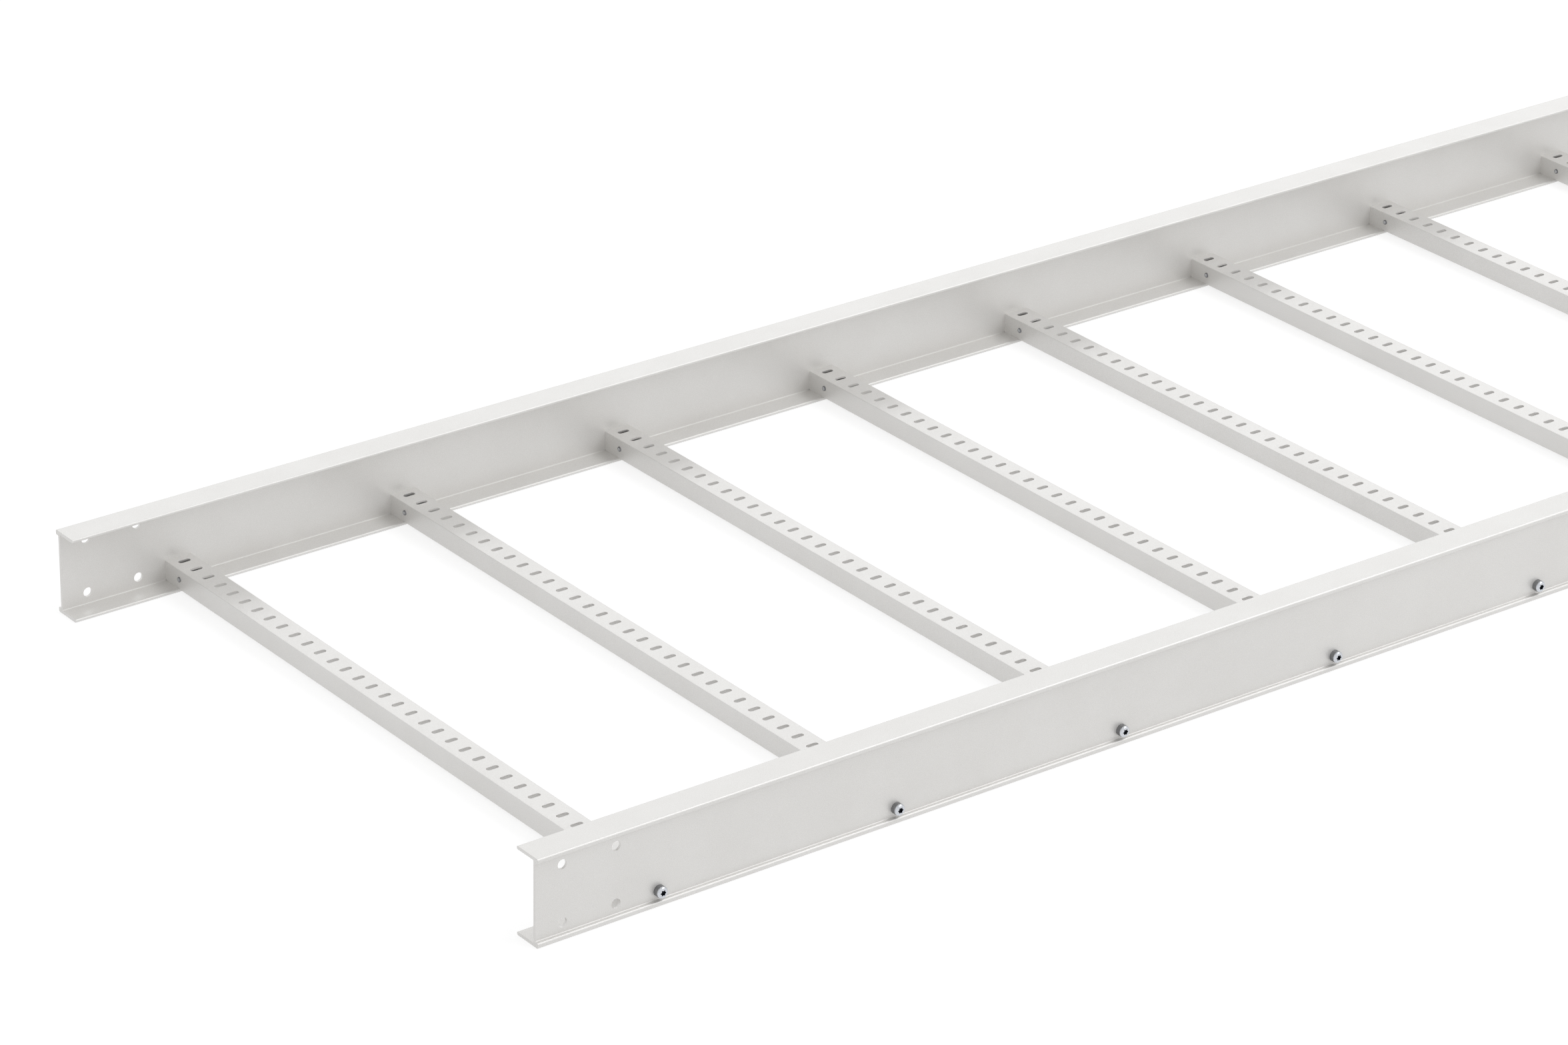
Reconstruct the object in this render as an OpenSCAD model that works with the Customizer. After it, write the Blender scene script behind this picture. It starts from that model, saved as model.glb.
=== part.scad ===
// Cable ladder section: two extruded side rails joined by slotted channel rungs.
// Each rung butts against both webs, stands on the inner bottom flanges and is
// pulled tight by a screw at each end, which threads into a cross nut in the rung.
// The rails run along X, the rungs along Y. The origin is the bottom centre.

/* [Ladder] */
// Length of the section, which is the length of both side rails
ladder_length = 3000; // [900:100:3000]
// Clear width between the two webs, which is the length of a rung
inner_width = 900; // [200:100:1000]
// Distance from one rung's centre line to the next
rung_pitch = 300; // [250:25:450]
// Least distance from the end of a rail to the first rung's centre line
rung_end_min = 150; // [130:10:200]

/* [Side rail] */
// Height of the side rail
rail_height = 100; // [96:1:150]
// Thickness of the web
web_t = 3; // [2:0.25:4]
// How far the inner flanges reach from the web's inner face
flange_reach = 28; // [22:1:45]
// Thickness of the inner flanges
flange_t = 3.8; // [3.2:0.2:5]
// How far the outer lips reach from the web's outer face
lip_reach = 5; // [3.5:0.25:8]
// Thickness of the outer lips
lip_t = 6; // [4.5:0.25:8]
// Radius on the tips of the inner flanges
flange_tip_r = 1.5; // [0.6:0.1:1.5]
// Radius on the two corners of the outer lips
lip_corner_r = 2; // [1:0.1:2.2]
// Radius in the corners where the web meets a flange or a lip
root_r = 1; // [0.5:0.1:1.2]

/* [Rail end holes] */
// Diameter of the four splice holes at each end of a web
end_hole_d = 11; // [8:0.5:13]
// Centre distance of the splice holes, along the rail and up it
end_hole_pitch = 65; // [40:1:65]
// Distance from the end of the rail to the first column of holes
end_hole_inset = 32.5; // [20:0.5:40]

/* [Rung] */
// Width of the rung along the rails
rung_w = 34; // [30:1:40]
// Height of the rung
rung_h = 24; // [21:1:32]
// Wall thickness of the rung
rung_t = 2; // [1.5:0.25:3]
// Outside radius along the rung's two top edges
rung_edge_r = 0.8; // [0.4:0.1:1.4]
// Length of a cable slot, across the rung
slot_l = 15; // [10:0.5:20]
// Width of a cable slot
slot_w = 6.2; // [4.5:0.1:8]
// Distance from one slot's centre to the next
slot_pitch = 25; // [20:1:50]
// Least distance from the end of the rung to the first slot's centre
slot_end_min = 12.5; // [10:0.5:30]

/* [Rung screw] */
// Diameter of the screw's shank
shank_d = 8; // [5:0.5:8]
// Length of the screw under its head
shank_l = 40; // [38:1:50]
// Diameter of the screw's head
head_d = 13; // [12:0.5:16]
// Height of the head
head_h = 8; // [5:0.25:9]
// Radius round the head's front edge
head_edge_r = 1.5; // [0.5:0.1:2]
// Width across the points of the six-lobe recess
recess_d = 6.8; // [6.2:0.1:7.5]
// Diameter of the round core between the lobes
recess_core_d = 4.9; // [4.4:0.1:5.6]
// Diameter of each lobe
recess_lobe_d = 1.4; // [1:0.1:1.8]
// Depth of the recess below the top of the head
recess_depth = 3.2; // [1.5:0.1:4]
// How much wider the web's hole is than the shank
screw_clearance = 0.5; // [0.3:0.1:1]

/* [Cross nut] */
// Distance from the end of the rung to the cross nut's axis
nut_inset = 28.5; // [20:0.5:30]
// Diameter of the nut's body between the rung's legs
nut_d = 13; // [11:0.5:14]
// Diameter of the nut's ends, which show in the rung's sides
nut_end_d = 6; // [4:0.5:8]
// How far the domed ends stand out of the rung's sides
nut_end_proud = 1; // [0.6:0.1:1.4]
// How much wider a hole is than the round part that sits in it
seat_clearance = 0.1; // [0.06:0.02:0.2]

/* [Hidden] */
$fn = 64;

// Rungs: as many as the pitch allows, centred on the rails
rung_count = floor((ladder_length - 2 * rung_end_min) / rung_pitch) + 1;
rung_bottom = flange_t;
rung_axis_z = rung_bottom + rung_h / 2;
function rung_x(i) = (i - (rung_count + 1) / 2) * rung_pitch;

// Slots: as many as the pitch allows, centred on the rung
slot_count = floor((inner_width - 2 * slot_end_min) / slot_pitch) + 1;
function slot_y(i) = (i - (slot_count + 1) / 2) * slot_pitch;

// Faces of a rail, counted from the ladder's middle outwards
web_in = inner_width / 2;
web_out = web_in + web_t;

// Splice holes, counted from the ladder's middle along the rail
end_hole_x = [for (n = [0, 1]) ladder_length / 2 - end_hole_inset - n * end_hole_pitch];
end_hole_z = [for (side = [-1, 1]) rail_height / 2 + side * end_hole_pitch / 2];

// Cut-through tools reach this far past the faces they cut
past = 1;

// The lobes of the recess, each a round on a circle about the screw's axis
lobe_count = 6;

// The domed ends of the cross nut
nut_dome_r = (pow(nut_end_d / 2, 2) + pow(nut_end_proud, 2)) / (2 * nut_end_proud);

aluminium = "gainsboro";
zinc = "lightsteelblue";

function two_digits(i) = i < 10 ? str("0", i) : str(i);
function piece_name(kind, i) = str(kind, "_", two_digits(i));

// The waste outside a round corner at the origin that points to +X and +Y
module corner_waste(r) {
    difference() {
        translate([-r, -r]) square(r + past);
        translate([-r, -r]) circle(r);
    }
}

// The fill inside a round inner corner at the origin that opens to +X and +Y
module root_fill(r) {
    difference() {
        translate([-past, -past]) square(r + past);
        translate([r, r]) circle(r);
    }
}

// Lower half of the rail's section, with the web's inner face at x = 0,
// the flange towards -X and the lip towards +X
module rail_foot() {
    difference() {
        union() {
            translate([-flange_reach, 0]) square([flange_reach + web_t, flange_t]);
            square([web_t + lip_reach, lip_t]);
            square([web_t, rail_height / 2]);
            translate([0, flange_t]) mirror([1, 0]) root_fill(root_r);
            translate([web_t, lip_t]) root_fill(root_r);
        }
        translate([-flange_reach, flange_t]) mirror([1, 0]) corner_waste(flange_tip_r);
        translate([-flange_reach, 0]) mirror([1, 0]) mirror([0, 1]) corner_waste(flange_tip_r);
        translate([web_t + lip_reach, lip_t]) corner_waste(lip_corner_r);
        translate([web_t + lip_reach, 0]) mirror([0, 1]) corner_waste(lip_corner_r);
    }
}

module rail_section() {
    rail_foot();
    translate([0, rail_height]) mirror([0, 1]) rail_foot();
}

// A cutter through the web at one place along the rail and up it
module web_hole(x, z, d) {
    translate([x, web_in - past, z]) rotate([-90, 0, 0]) cylinder(d = d, h = web_t + 2 * past);
}

// The back rail, whose web stands on the +Y side of the ladder
module side_rail() {
    color(aluminium) difference() {
        translate([-ladder_length / 2, web_in, 0]) rotate([90, 0, 90])
            linear_extrude(ladder_length) rail_section();
        for (end = [-1, 1], x = end_hole_x, z = end_hole_z) web_hole(end * x, z, end_hole_d);
        for (i = [1:rung_count]) web_hole(rung_x(i), rung_axis_z, shank_d + screw_clearance);
    }
}

module front_side() {
    mirror([0, 1, 0]) children();
}

// Section of the rung: a channel that is open underneath
module rung_section() {
    difference() {
        translate([-rung_w / 2, 0]) square([rung_w, rung_h]);
        translate([rung_t - rung_w / 2, -past]) square([rung_w - 2 * rung_t, rung_h - rung_t + past]);
        for (side = [0, 1]) mirror([side, 0])
            translate([rung_w / 2, rung_h]) corner_waste(rung_edge_r);
    }
}

// A cutter for one obround slot, long across the rung
module slot_cutter() {
    for (side = [-1, 1]) translate([side * (slot_l - slot_w) / 2, 0, 0])
        cylinder(d = slot_w, h = rung_t + 2 * past);
    translate([-(slot_l - slot_w) / 2, -slot_w / 2, 0]) cube([slot_l - slot_w, slot_w, rung_t + 2 * past]);
}

// A rung about the ladder's middle, with its section centred on x = 0
module rung() {
    color(aluminium) difference() {
        translate([0, inner_width / 2, rung_bottom]) rotate([90, 0, 0])
            linear_extrude(inner_width) rung_section();
        for (i = [1:slot_count]) translate([0, slot_y(i), rung_bottom + rung_h - rung_t - past]) slot_cutter();
        for (side = [-1, 1]) {
            translate([0, side * (inner_width / 2 - nut_inset), rung_axis_z]) rotate([0, 90, 0])
                cylinder(d = nut_end_d + seat_clearance, h = rung_w + 2 * past, center = true);
            // The feet are nicked at their ends to clear the rail's root radius
            translate([0, side * inner_width / 2, rung_bottom])
                cube([rung_w + 2 * past, 2 * root_r, 2 * root_r], center = true);
        }
    }
}

// Six-lobe recess, pointing down from the origin
module recess_cutter() {
    translate([0, 0, -recess_depth]) {
        cylinder(d = recess_core_d, h = recess_depth + past);
        for (i = [0:lobe_count - 1]) rotate([0, 0, i * 360 / lobe_count])
            translate([(recess_d - recess_lobe_d) / 2, 0, 0]) cylinder(d = recess_lobe_d, h = recess_depth + past);
    }
}

// A screw with the underside of its head at z = 0 and its shank pointing down
module screw_body() {
    difference() {
        union() {
            translate([0, 0, -shank_l]) cylinder(d = shank_d, h = shank_l);
            rotate_extrude() difference() {
                square([head_d / 2, head_h]);
                translate([head_d / 2, head_h]) corner_waste(head_edge_r);
            }
        }
        translate([0, 0, head_h]) recess_cutter();
    }
}

// The screw that holds the back end of the rung at x = 0
module rung_screw() {
    color(zinc) translate([0, web_out, rung_axis_z]) rotate([-90, 0, 0]) screw_body();
}

// Cross nut across the rung at x = 0, bored for the screw, at its back end
module cross_nut() {
    body_l = rung_w - 2 * rung_t;
    color(zinc) translate([0, inner_width / 2 - nut_inset, rung_axis_z]) difference() {
        rotate([0, 90, 0]) {
            cylinder(d = nut_d, h = body_l, center = true);
            cylinder(d = nut_end_d, h = rung_w, center = true);
            for (side = [0, 1]) mirror([0, 0, side]) intersection() {
                translate([0, 0, rung_w / 2 + nut_end_proud - nut_dome_r]) sphere(nut_dome_r);
                translate([0, 0, rung_w / 2]) cylinder(d = nut_end_d, h = nut_end_proud);
            }
        }
        rotate([90, 0, 0]) cylinder(d = shank_d + seat_clearance, h = nut_d + 2 * past, center = true);
    }
}

front_side() side_rail();  // side_rail_front
side_rail();  // side_rail_back
for (i = [1:rung_count]) translate([rung_x(i), 0, 0]) {
    rung();
    front_side() rung_screw();
    rung_screw();
    front_side() cross_nut();
    cross_nut();
}
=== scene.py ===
import bmesh
import bpy
import math
import numpy as np
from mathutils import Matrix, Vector


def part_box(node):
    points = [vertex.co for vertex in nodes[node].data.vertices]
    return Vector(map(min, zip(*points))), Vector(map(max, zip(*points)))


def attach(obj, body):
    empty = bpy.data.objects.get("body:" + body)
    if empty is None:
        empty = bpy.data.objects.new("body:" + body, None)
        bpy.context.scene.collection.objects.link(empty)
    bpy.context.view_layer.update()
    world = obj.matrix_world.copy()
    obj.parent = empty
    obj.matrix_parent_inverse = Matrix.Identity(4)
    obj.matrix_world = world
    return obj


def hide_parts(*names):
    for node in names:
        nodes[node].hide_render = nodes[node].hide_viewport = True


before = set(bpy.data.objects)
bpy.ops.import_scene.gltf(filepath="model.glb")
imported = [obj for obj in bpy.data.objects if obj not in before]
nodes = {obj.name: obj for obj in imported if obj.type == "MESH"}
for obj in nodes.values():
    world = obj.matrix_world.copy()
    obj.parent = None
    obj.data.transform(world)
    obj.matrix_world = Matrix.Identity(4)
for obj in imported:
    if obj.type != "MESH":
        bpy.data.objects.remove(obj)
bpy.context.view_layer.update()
rails = [name for name in nodes if name.startswith("side_rail")]
rungs = [name for name in nodes if name.startswith("rung") and not name.startswith("rung_screw")]
screws = [name for name in nodes if name.startswith("rung_screw")]
nuts = [name for name in nodes if name.startswith("cross_nut")]
print("frame loaded:", len(nodes), "CAD nodes")


def toLinear(hexCode):
    # sRGB hex to linear colour: a channel c becomes c / 12.92 up to 0.04045,
    # and ((c + 0.055) / 1.055) ** 2.4 above it
    channels = [int(hexCode[i:i + 2], 16) / 255 for i in (1, 3, 5)]
    linear = [c / 12.92 if c <= 0.04045 else ((c + 0.055) / 1.055) ** 2.4 for c in channels]
    return (*linear, 1.0)


def addNode(tree, kind, settings=None, links=None):
    # a setting goes to the node's own property of that name, or else to the input of that name or
    # number; links bring other nodes' outputs to inputs
    node = tree.nodes.new(kind)
    for key, value in (settings or {}).items():
        if isinstance(key, str) and hasattr(node, key):
            setattr(node, key, value)
        else:
            node.inputs[key].default_value = value
    for key, source in (links or {}).items():
        tree.links.new(source, node.inputs[key])
    return node


def mottledMetal(name, look):
    # mix = grain + cloudShare * cloud, two noises of a given size in millimetres; the colour goes from
    # deep to pale over toneReach either side of the mix's middle, and the bump's height is the grain
    material = bpy.data.materials.new(name)
    material.use_nodes = True
    tree = material.node_tree
    tree.nodes.clear()
    place = addNode(tree, "ShaderNodeTexCoord").outputs["Object"]
    grain = addNode(tree, "ShaderNodeTexNoise",
                    {"Scale": 1000 / look["grainMm"], "Detail": look["grainDetail"],
                     "Roughness": look["grainRoughness"]},
                    {"Vector": place})
    cloud = addNode(tree, "ShaderNodeTexNoise",
                    {"Scale": 1000 / look["cloudMm"], "Detail": look["cloudDetail"]},
                    {"Vector": place})
    mix = addNode(tree, "ShaderNodeMath", {"operation": "MULTIPLY_ADD", 1: look["cloudShare"]},
                  {0: cloud.outputs[0], 2: grain.outputs[0]})
    middle = (1 + look["cloudShare"]) / 2
    tone = addNode(tree, "ShaderNodeMapRange",
                   {"From Min": middle - look["toneReach"], "From Max": middle + look["toneReach"]},
                   {"Value": mix.outputs[0]})
    colour = addNode(tree, "ShaderNodeMix",
                     {"data_type": "RGBA", 6: toLinear(look["deepHex"]), 7: toLinear(look["paleHex"])},
                     {0: tone.outputs[0]})
    bump = addNode(tree, "ShaderNodeBump", {"Strength": 1.0, "Distance": look["grainHeightMm"] / 1000},
                   {"Height": grain.outputs[0]})
    surface = addNode(tree, "ShaderNodeBsdfPrincipled",
                      {"Metallic": look["metallic"], "Roughness": look["roughness"]},
                      {"Base Color": colour.outputs[2], "Normal": bump.outputs[0]})
    addNode(tree, "ShaderNodeOutputMaterial", links={"Surface": surface.outputs[0]})
    return material


# Extruded aluminium with a pickled mill finish: a pale matt skin, more oxide than mirror, made of
# fine grains that each tilt the reflection a little, so that the edges sparkle in dots
aluminiumLook = {
    "paleHex": "#E9E8E6",
    "deepHex": "#DAD8D5",
    "metallic": 0.4,
    "roughness": 0.4,
    "grainMm": 0.7,  # the real grain is about a quarter of this, drawn coarser so that it shows
    "grainDetail": 1.0,
    "grainRoughness": 0.6,
    "grainHeightMm": 0.11,
    "cloudMm": 60,
    "cloudDetail": 3.0,
    "cloudShare": 0.25,
    "toneReach": 0.25,
}
pickledAluminium = mottledMetal("pickled_aluminium", aluminiumLook)
for name in rails + rungs:
    nodes[name].data.materials.clear()
    nodes[name].data.materials.append(pickledAluminium)
print("aluminium on", len(rails), "rails and", len(rungs), "rungs")

# Steel with bright zinc plating, clear passivated: a smooth, slightly cool metal with a fine satin
# mottle. The side zinc, darker than the faces, is painted shade: it stands for the shaded rail
# reflected in the sides of heads, threads and spigots. Nut bodies are barrel plated and dull, and
# the recess zinc is near black, painted shade deep in the recess
zincLook = {
    "paleHex": "#D6D8DC",
    "deepHex": "#BCC0C7",
    "metallic": 1.0,
    "roughness": 0.2,
    "grainMm": 1.5,
    "grainDetail": 2.0,
    "grainRoughness": 0.6,
    "grainHeightMm": 0.004,
    "cloudMm": 12,
    "cloudDetail": 3.0,
    "cloudShare": 0.3,
    "toneReach": 0.4,
}
zincChanges = {
    "face": {},
    # side: darker zinc, painted shade on the heads' sides, the threads and the spigots
    "side": {"paleHex": "#9C9D9F", "deepHex": "#636466", "roughness": 0.3, "grainMm": 0.9,
             "grainHeightMm": 0.02},
    "body": {"paleHex": "#EDEEEF", "deepHex": "#DADBDD", "roughness": 0.6},
    # recess: near-black zinc, painted shade inside the six-lobe recess
    "recess": {"paleHex": "#4A4E57", "deepHex": "#23262D", "roughness": 0.5, "grainMm": 0.8},
}
zinc = {}
for part, changes in zincChanges.items():
    zinc[part] = mottledMetal("zinc_plated_" + part, {**zincLook, **changes})


def ringGrid(height, radius):
    # a row is a ring round the y axis: x = radius * cos(turn), y = height, z = radius * sin(turn);
    # quads join each ring to the next
    rings, facets = radius.shape
    turn = np.linspace(0, 2 * np.pi, facets, endpoint=False)
    height = np.broadcast_to(height, radius.shape)
    points = np.stack([radius * np.cos(turn), height, radius * np.sin(turn)], -1)
    index = np.arange(rings * facets).reshape(rings, facets)
    after = np.roll(index, -1, 1)
    quads = np.stack([index[:-1], after[:-1], after[1:], index[1:]], -1)
    return points.reshape(-1, 3), quads.reshape(-1, 4)


def turnedPiece(rings, bands, facets):
    # each (height, radius) turned once round; a radius is one number, or one for each facet;
    # bands names the zinc between each ring and the next
    height = np.array([[h] for h, r in rings])
    radius = np.array([np.broadcast_to(r, facets) for h, r in rings])
    points, quads = ringGrid(height, radius)
    return points, quads, np.repeat(bands, facets)


# Both kinds of fastener; metres
fastenerMesh = {
    "weldDistance": 1e-7,
    "sharpDegrees": 32,
    "slot": "zinc_plated_steel",
}


def closePoles(mesh):
    # the points of a ring without a radius become one
    work = bmesh.new()
    work.from_mesh(mesh)
    bmesh.ops.remove_doubles(work, verts=work.verts, dist=fastenerMesh["weldDistance"])
    work.to_mesh(mesh)
    work.free()


def addFastener(node, points, quads, finish):
    # points are millimetres from the middle of the CAD node's box; finish names the zinc of each quad
    middle = np.array(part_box(node)).mean(0)
    mesh = bpy.data.meshes.new(node + "_detailed")
    mesh.from_pydata((points / 1000 + middle).tolist(), [], quads.tolist())
    used, place = np.unique(finish, return_inverse=True)
    for part in used:
        mesh.materials.append(zinc[part])
    mesh.polygons.foreach_set("material_index", place.astype(np.int32))
    mesh.polygons.foreach_set("use_smooth", np.ones(len(quads), bool))
    closePoles(mesh)
    mesh.set_sharp_from_angle(angle=math.radians(fastenerMesh["sharpDegrees"]))
    piece = bpy.data.objects.new(node + "_detailed", mesh)
    bpy.context.scene.collection.objects.link(piece)
    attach(piece, "root")
    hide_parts(node)


# Six-lobe screw with a deep cylinder head, M8 by 40, threaded close up to the head; millimetres
screwShape = {
    "head": 13.0,
    "headHeight": 8.0,
    "headEdge": 2.5,
    "edgeRings": 8,
    "seatEdge": 0.15,
    "sideEnd": 0.3,  # a ring this far before the edge keeps the side's shading straight
    "lobes": 6,
    "recessPoints": 6.8,
    "recessCore": 4.9,
    # depth below the face, share of the recess's radius, zinc: the rim, the wall and the drill point; the
    # wall and the drill point take the recess zinc, painted shade
    "recessRings": [(0.0, 1.12, "face"), (0.0, 1.05, "face"), (0.12, 1.0, "face"), (0.3, 0.985, "recess"),
                    (3.0, 0.965, "recess"), (3.2, 0.9, "recess"), (3.7, 0.0, "recess")],
    "headFacets": 72,
    "length": 40.0,
    "thread": 8.0,
    "threadPitch": 1.25,
    "threadDepth": 0.7,
    "crestShare": 0.08,
    "rootShare": 0.12,
    "plainNeck": 2.0,
    "runOut": 1.5,
    "tipLength": 1.2,
    "tipTaper": 0.9,
    "threadInHead": 0.3,
    "threadFacets": 24,
    "ringsPerTurn": 4,
}


def screwHead(shape):
    # from the seat out along the side, round the edge, over the face and down into the recess, whose
    # radius is (core + (points - core) * (1 + cos(lobes * turn)) / 2) / 2
    turn = np.linspace(0, 2 * np.pi, shape["headFacets"], endpoint=False)
    wave = (1 + np.cos(shape["lobes"] * turn)) / 2
    recess = (shape["recessCore"] + (shape["recessPoints"] - shape["recessCore"]) * wave) / 2
    outer, top, edge = shape["head"] / 2, shape["headHeight"], shape["headEdge"]
    rings = [(0.0, 0.0), (0.0, outer - shape["seatEdge"]), (shape["seatEdge"], outer)]
    rings += [(top - edge - shape["sideEnd"], outer), (top - edge, outer)]
    # the seat and the side take the side zinc, painted shade
    bands = ["side"] * (len(rings) - 1)
    for angle in np.linspace(0, np.pi / 2, shape["edgeRings"])[1:]:
        rings.append((top - edge + edge * math.sin(angle), outer - edge + edge * math.cos(angle)))
        bands.append("face")
    for depth, share, part in shape["recessRings"]:
        rings.append((top - depth, recess * share))
        bands.append(part)
    return turnedPiece(rings, bands, shape["headFacets"])


def screwThread(shape):
    # radius = major radius - depth * groove * fade - taper, where groove is a triangle wave of
    # height / pitch + turn / 2 pi with flat crests and roots, and fade ends it before the head
    steps = int(shape["length"] / shape["threadPitch"] * shape["ringsPerTurn"])
    height = np.linspace(-shape["length"], shape["threadInHead"], steps)[:, None]
    turn = np.linspace(0, 2 * np.pi, shape["threadFacets"], endpoint=False)
    wave = np.abs(2 * np.mod(height / shape["threadPitch"] + turn / (2 * np.pi), 1.0) - 1)
    groove = np.clip((wave - shape["crestShare"]) / (1 - shape["crestShare"] - shape["rootShare"]), 0, 1)
    fade = np.clip((-shape["plainNeck"] - height) / shape["runOut"], 0, 1)
    taper = shape["tipTaper"] * (1 - np.clip((height + shape["length"]) / shape["tipLength"], 0, 1))
    radius = np.pad(shape["thread"] / 2 - shape["threadDepth"] * groove * fade - taper, ((1, 1), (0, 0)))
    height = np.vstack([height[:1], height, height[-1:]])
    points, quads = ringGrid(height, radius)
    # the whole thread takes the side zinc, painted shade
    return points, quads, np.repeat("side", len(quads))


def dressScrew(node):
    # the seat is at height 0, and the middle of the node's box is (length - head height) / 2 below it
    points, quads, finish = screwHead(screwShape)
    threadPoints, threadQuads, threadFinish = screwThread(screwShape)
    quads = np.vstack([quads, threadQuads + len(points)])
    points = np.vstack([points, threadPoints])
    finish = np.concatenate([finish, threadFinish])
    points[:, 1] += (screwShape["length"] - screwShape["headHeight"]) / 2
    if "front" in node:
        points[:, 1] *= -1  # the head points to the front
    else:
        quads = quads[:, ::-1]  # wound to face outwards, as the mirrored front screws are
    addFastener(node, points, quads, finish)


# Cross nut: a round body inside the rung, with a spigot at each end that comes out through the
# rung's side; millimetres, from the middle out
nutShape = {
    "body": 13.0,
    "halfBody": 15.0,
    "shoulderEdge": 0.6,
    "spigot": 5.9,
    "halfRung": 17.0,
    "proud": 1.4,
    "edge": 0.9,
    "edgeRings": 6,
    "crown": 0.12,
    "crownHalfway": 0.8,  # share of the crown's height at half the spigot's radius
    "facets": 40,
}


def halfNut(shape):
    # each ring's height, radius and the zinc on its inner side: body, shoulder, spigot, a quarter
    # round of radius edge, then a low crown
    end = shape["halfRung"] + shape["proud"]
    body, spigot, edge = shape["body"] / 2, shape["spigot"] / 2, shape["edge"]
    rings = [(shape["halfBody"] - shape["shoulderEdge"], body, "body")]
    # the shoulder, the spigot and its rounded end take the side zinc, painted shade that gives a dark ring;
    # the crown takes the face zinc
    rings += [(shape["halfBody"], body - shape["shoulderEdge"], "body"), (shape["halfBody"], spigot, "side")]
    for angle in np.linspace(0, np.pi / 2, shape["edgeRings"]):
        rings.append((end - edge * (1 - math.sin(angle)), spigot - edge * (1 - math.cos(angle)), "side"))
    rings.append((end + shape["crown"] * shape["crownHalfway"], spigot / 2, "face"))
    rings.append((end + shape["crown"], 0.0, "face"))
    return rings


def dressNut(node):
    # the half and its mirror image, with the y axis swapped for x
    half = halfNut(nutShape)
    rings = [(-h, r) for h, r, part in reversed(half)] + [(h, r) for h, r, part in half]
    bands = [part for h, r, part in reversed(half)] + [part for h, r, part in half[1:]]
    points, quads, finish = turnedPiece(rings, bands, nutShape["facets"])
    addFastener(node, points[:, [1, 0, 2]], quads, finish)


for name in screws:
    dressScrew(name)
for name in nuts:
    dressNut(name)
print("zinc on", len(screws), "threaded screws and", len(nuts), "cross nuts")

# Metres and radiances: white paper on the floor, a long low softbox behind, one overhead and one in
# front; the two behind and above are slightly cool
studio = {
    "floorSize": 60,
    "floorDrop": 0.0004,  # keeps the floor clear of the rails' undersides
    "floorHex": "#A8A8A8",
    "floorWhite": 0.72,
    "floorGlow": 0.4,
    "worldHex": "#FFFFFF",
    "worldWhite": 1.0,
    "worldStrength": 0.65,
}
softboxes = {
    "key_softbox": {"place": (2.0, 9.0, 5.0), "size": (30.0, 2.2),
                    "radiance": 1.05, "tint": (0.96, 0.98, 1.0)},
    "top_softbox": {"place": (4.0, -1.5, 6.5), "size": (5.0, 4.0),
                    "radiance": 2.2, "tint": (0.96, 0.98, 1.0)},
    "front_softbox": {"place": (4.0, -7.0, 6.0), "size": (7.0, 5.0),
                      "radiance": 1.25, "tint": (1.0, 1.0, 1.0)},
}


def strengthFor(tree, light, white):
    # white for camera, glossy and transmission rays, and light for the rest
    path = addNode(tree, "ShaderNodeLightPath")
    seen = addNode(tree, "ShaderNodeMath", {"operation": "MAXIMUM"},
                   {0: path.outputs["Is Camera Ray"], 1: path.outputs["Is Glossy Ray"]})
    seenOrThrough = addNode(tree, "ShaderNodeMath", {"operation": "MAXIMUM"},
                            {0: seen.outputs[0], 1: path.outputs["Is Transmission Ray"]})
    strength = addNode(tree, "ShaderNodeMapRange", {"To Min": light, "To Max": white},
                       {"Value": seenOrThrough.outputs[0]})
    return strength.outputs[0]


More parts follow.
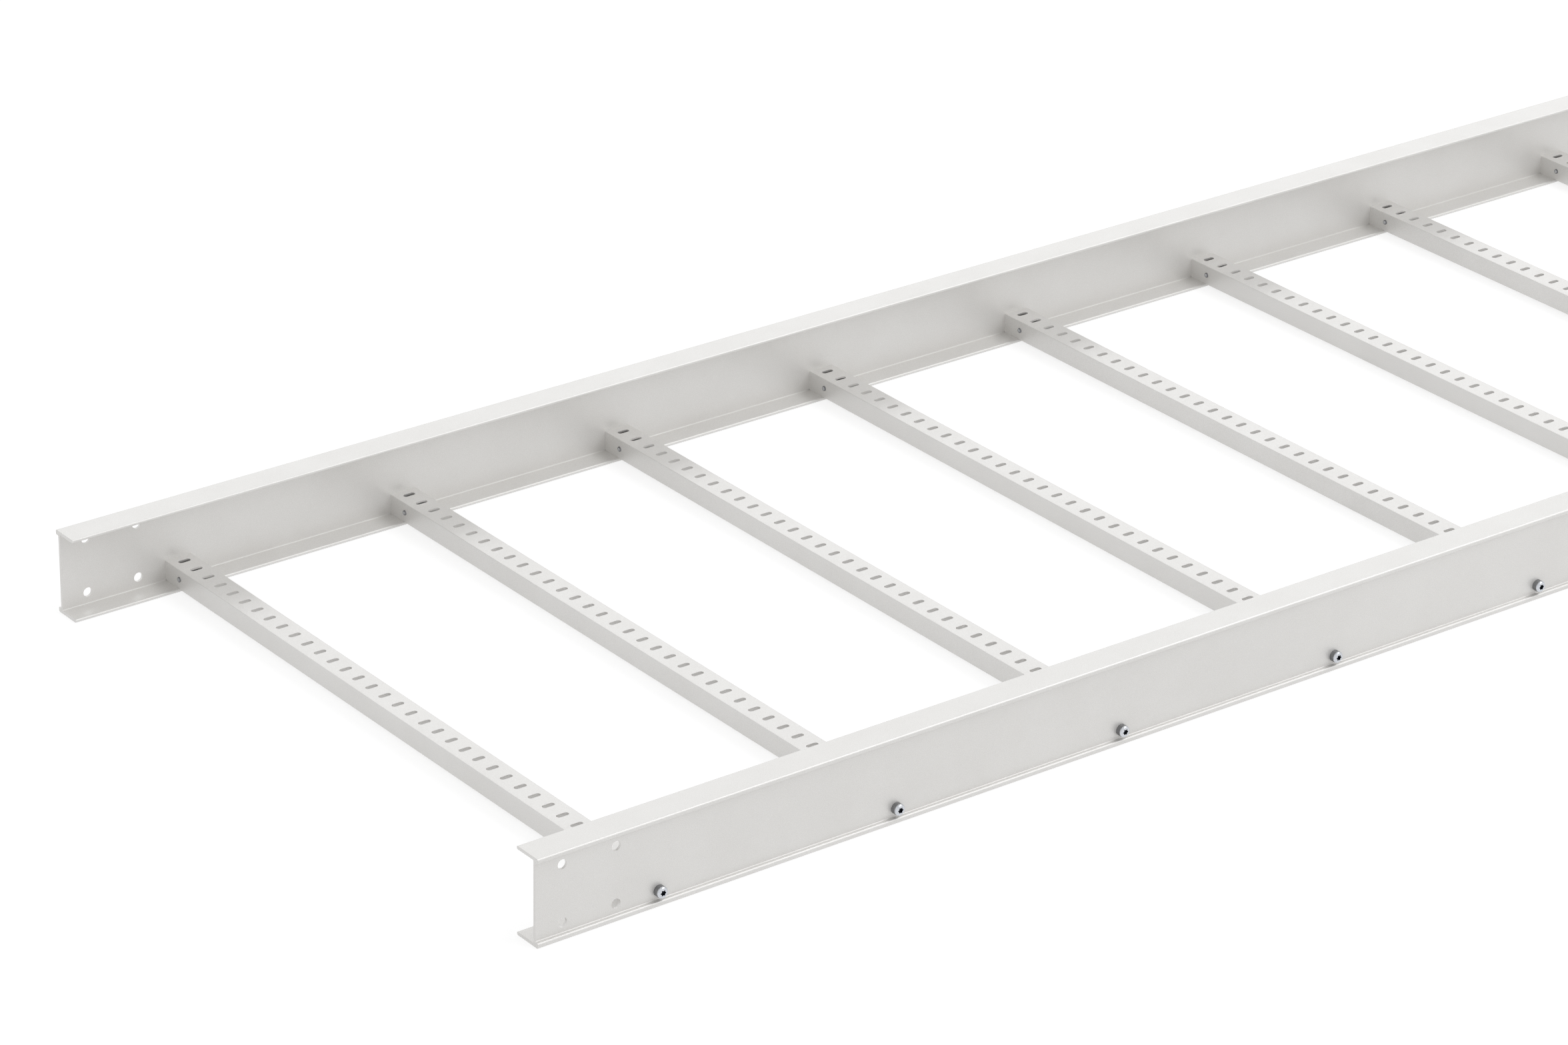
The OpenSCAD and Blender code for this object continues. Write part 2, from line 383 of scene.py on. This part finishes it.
def makeFloor():
    # grey paper that takes the shadows, plus a glow that brings it up to white
    half, down = studio["floorSize"] / 2, -studio["floorDrop"]
    corners = [(-half, -half, down), (half, -half, down), (half, half, down), (-half, half, down)]
    mesh = bpy.data.meshes.new("studio_floor")
    mesh.from_pydata(corners, [], [(0, 1, 2, 3)])
    material = bpy.data.materials.new("white_paper_floor")
    material.use_nodes = True
    tree = material.node_tree
    tree.nodes.clear()
    paper = addNode(tree, "ShaderNodeBsdfDiffuse", {"Color": toLinear(studio["floorHex"])})
    glow = addNode(tree, "ShaderNodeEmission",
                   links={"Strength": strengthFor(tree, studio["floorGlow"], studio["floorWhite"])})
    both = addNode(tree, "ShaderNodeAddShader", links={0: paper.outputs[0], 1: glow.outputs[0]})
    addNode(tree, "ShaderNodeOutputMaterial", links={"Surface": both.outputs[0]})
    mesh.materials.append(material)
    floor = bpy.data.objects.new("studio_floor", mesh)
    bpy.context.scene.collection.objects.link(floor)


def makeWorld():
    # white to the eye and in reflections, softer as a light
    world = bpy.data.worlds.new("studio_world")
    world.use_nodes = True
    tree = world.node_tree
    tree.nodes.clear()
    background = addNode(tree, "ShaderNodeBackground", {"Color": toLinear(studio["worldHex"])},
                         {"Strength": strengthFor(tree, studio["worldStrength"], studio["worldWhite"])})
    addNode(tree, "ShaderNodeOutputWorld", links={"Surface": background.outputs[0]})
    bpy.context.scene.world = world


def addSoftbox(name, box):
    # a rectangle aimed at the middle of the ladder; its power is pi * area * radiance
    light = bpy.data.lights.new(name, "AREA")
    light.shape = "RECTANGLE"
    light.size, light.size_y = box["size"]
    light.energy = math.pi * light.size * light.size_y * box["radiance"]
    light.color = box["tint"]
    lamp = bpy.data.objects.new(name, light)
    bpy.context.scene.collection.objects.link(lamp)
    lamp.location = box["place"]
    lamp.rotation_euler = (-Vector(box["place"])).to_track_quat("-Z", "Y").to_euler()


makeFloor()
makeWorld()
for name, box in softboxes.items():
    addSoftbox(name, box)

# The camera stands to the left of the front rail and looks down along the ladder; place in metres,
# and turns about x, y and z: up from straight down, sideways, and round from looking along +y
view = {
    "place": (-4.25745, -4.39002, 2.7425),
    "turnDegrees": (63.7723, -0.0253, -35.2552),
    "sensorMm": 36,
    "lensMm": 129.318,
    "shift": (0.14435, 0.05255),
    "clipEnd": 200,
}


def makeCamera():
    # the lens shift moves the ladder to its place in the frame without turning the camera
    camera = bpy.data.cameras.new("studio_camera")
    camera.sensor_width = view["sensorMm"]
    camera.lens = view["lensMm"]
    camera.shift_x, camera.shift_y = view["shift"]
    camera.clip_end = view["clipEnd"]
    cameraObject = bpy.data.objects.new("studio_camera", camera)
    bpy.context.scene.collection.objects.link(cameraObject)
    cameraObject.location = view["place"]
    cameraObject.rotation_euler = [math.radians(turn) for turn in view["turnDegrees"]]
    bpy.context.scene.camera = cameraObject


makeCamera()
bpy.context.scene.view_settings.view_transform = "Standard"
print("studio set")
